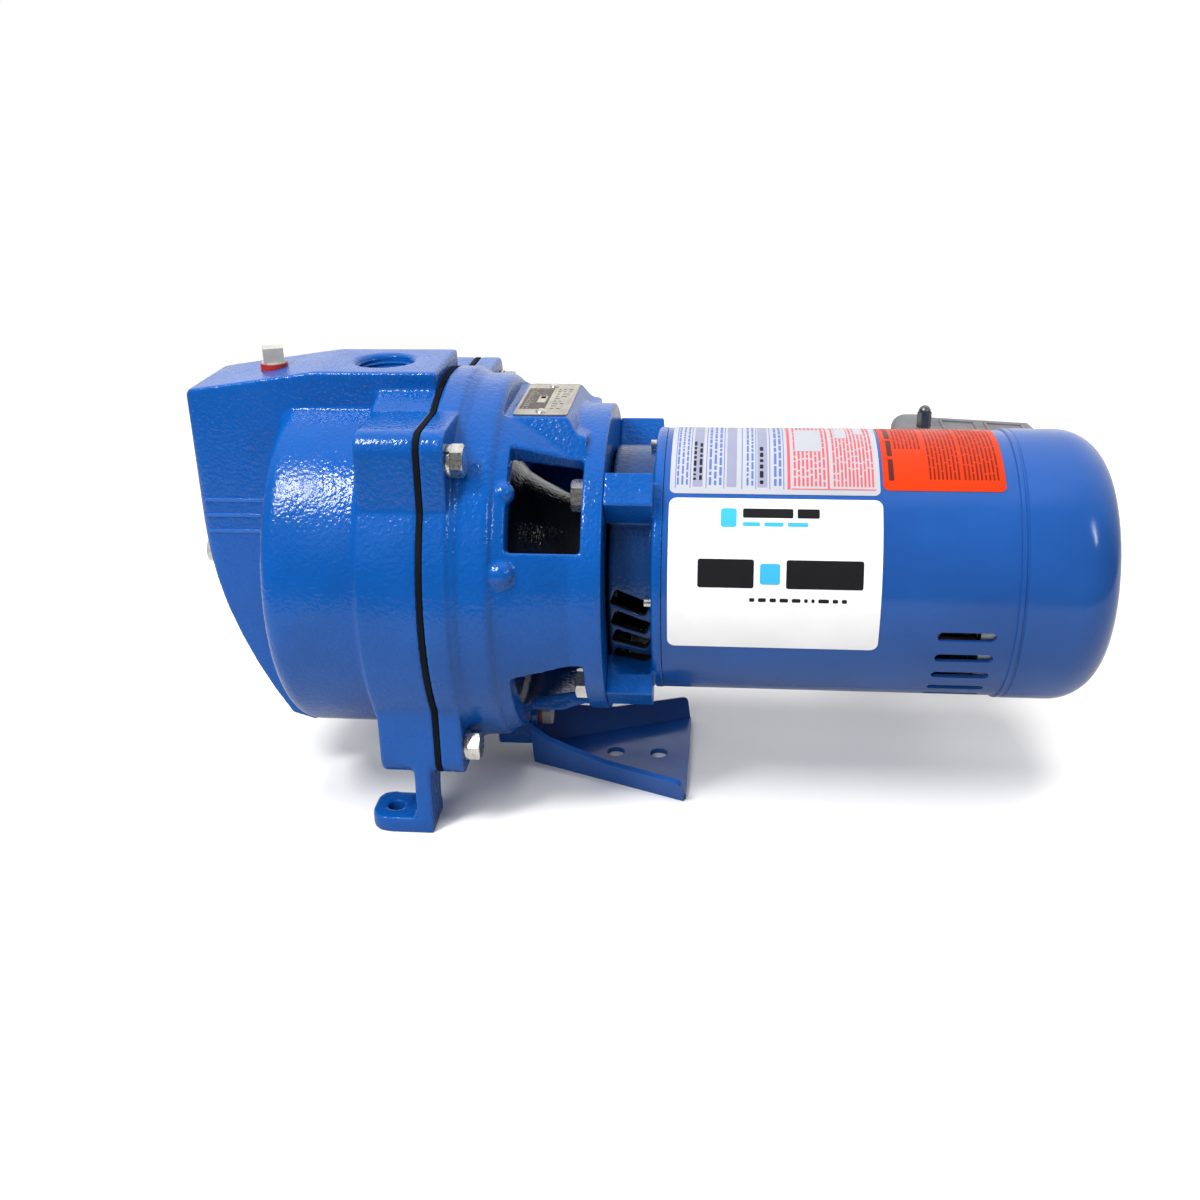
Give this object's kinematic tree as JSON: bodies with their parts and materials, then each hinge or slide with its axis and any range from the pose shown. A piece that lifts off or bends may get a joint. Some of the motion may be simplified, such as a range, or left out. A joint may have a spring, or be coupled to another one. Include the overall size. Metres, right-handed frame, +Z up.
{
  "type": "shallow well jet pump",
  "caption": "Self-priming shallow well jet pump: cast iron casing with suction nose, ribbed adapter, close-coupled electric motor and pressure switch.",
  "frame": {"origin": "middle of the line between the two front foot holes, at floor level", "axes": "+X from the suction end to the motor along the shaft, +Z up, +Y to the side of the pressure switch"},
  "size_m": [0.4936, 0.241, 0.2434],
  "materials": {
    "enamel": "glossy blue enamel over cast iron, with a light orange peel",
    "sheet_enamel": "glossy blue enamel on smooth drawn steel",
    "zinc": "bright zinc plate",
    "rusty_washer": "zinc plate with orange rust",
    "steel": "machined steel",
    "lamination": "stacked electrical steel",
    "die_cast": "die-cast aluminium",
    "brass": "turned brass",
    "copper": "copper",
    "rubber": "black rubber",
    "sealant": "red thread sealant",
    "dark_plastic": "glass-filled moulded plastic",
    "phenolic": "brown phenolic",
    "collar_plastic": "pale nylon",
    "capacitor_case": "black moulded case",
    "ceramic": "polished seal ceramic",
    "plate": null,
    "label_white": null,
    "label_data": null,
    "label_orange": null,
    "switch_grey": "grey moulded cover",
    "conduit": "galvanised conduit"
  },
  "bodies": {
    "pump": {"casing": "enamel", "casing_gasket": "rubber", "priming_plug": "zinc", "plug_sealant": "sealant", "nozzle_plug": "zinc", "drain_plug": "zinc", "nozzle": "brass", "venturi": "dark_plastic", "venturi_ring": "rubber", "diffuser": "dark_plastic", "diffuser_screws": "steel", "adapter": "enamel", "casing_bolts": "zinc", "casing_lock_washers": "zinc", "seal_seat": "ceramic", "nameplate": "plate", "nameplate_pins": "zinc", "foot_bracket": "sheet_enamel", "foot_bolt": "zinc", "foot_lock_washer": "rusty_washer", "motor_bolts": "zinc", "motor_front_bracket": "sheet_enamel", "bearing_outer_rings": "steel", "motor_shell": "sheet_enamel", "stator_core": "lamination", "stator_windings": "copper", "start_switch": "phenolic", "rear_bracket": "die_cast", "through_bolts": "zinc", "terminal_board": "phenolic", "capacitor": "capacitor_case", "end_cover": "sheet_enamel", "end_cover_screws": "zinc", "white_label": "label_white", "data_label": "label_data", "orange_label": "label_orange", "switch_base": "conduit", "switch_cover": "switch_grey", "cover_nut": "zinc", "switch_contacts": "phenolic", "switch_spring": "steel", "conduit_nipple": "conduit", "sensing_tube": "copper", "tube_fittings": "brass"},
    "rotor": {"shaft": "steel", "rotor_core": "lamination", "rotor_end_rings": "die_cast", "impeller": "dark_plastic", "seal_head": "rubber", "seal_spring": "steel", "slinger": "rubber", "bearing_inner_rings": "steel", "governor_base": "steel"},
    "bearing_cages": {"bearing_balls": "steel", "bearing_cages": "brass"},
    "governor_collar": {"governor_collar": "collar_plastic"},
    "upper_weight": {"governor_weight_upper": "steel"},
    "lower_weight": {"governor_weight_lower": "steel"},
    "start_arm": {"start_switch_arm": "copper"},
    "pressure_lever": {"switch_lever": "brass"}
  },
  "joints": [
    {"name": "rotor_spin", "type": "hinge", "parent": "pump", "child": "rotor", "pos_m": [0.13, 0, 0.127], "axis": [1, 0, 0], "continuous": true},
    {"name": "cage_spin", "type": "hinge", "parent": "pump", "child": "bearing_cages", "pos_m": [0.13, 0, 0.127], "axis": [1, 0, 0], "continuous": true},
    {"name": "governor_slide", "type": "slide", "parent": "rotor", "child": "governor_collar", "axis": [1, 0, 0], "range_m": [-0.003, 0]},
    {"name": "upper_weight_swing", "type": "hinge", "parent": "rotor", "child": "upper_weight", "pos_m": [0.278, 0, 0.144], "axis": [0, 1, 0], "range_deg": [-20.5, 0]},
    {"name": "lower_weight_swing", "type": "hinge", "parent": "rotor", "child": "lower_weight", "pos_m": [0.278, 0, 0.11], "axis": [0, 1, 0], "range_deg": [0, 20.5]},
    {"name": "start_arm_swing", "type": "hinge", "parent": "pump", "child": "start_arm", "pos_m": [0.2952, 0, 0.093], "axis": [0, 1, 0], "range_deg": [-5, 0]},
    {"name": "pressure_lever_tilt", "type": "hinge", "parent": "pump", "child": "pressure_lever", "pos_m": [0.343, 0.108, 0.132], "axis": [0, 1, 0], "range_deg": [0, 4], "stiffness_Nm_per_rad": 0.6, "deforming": ["switch_spring"]}
  ],
  "couplings": [
    {"joint": "cage_spin", "follows": "rotor_spin", "ratio": 0.3825},
    {"joint": "upper_weight_swing", "follows": "governor_slide", "rad_per_m": 116},
    {"joint": "lower_weight_swing", "follows": "governor_slide", "rad_per_m": -116},
    {"joint": "start_arm_swing", "follows": "governor_slide", "rad_per_m": 27}
  ]
}
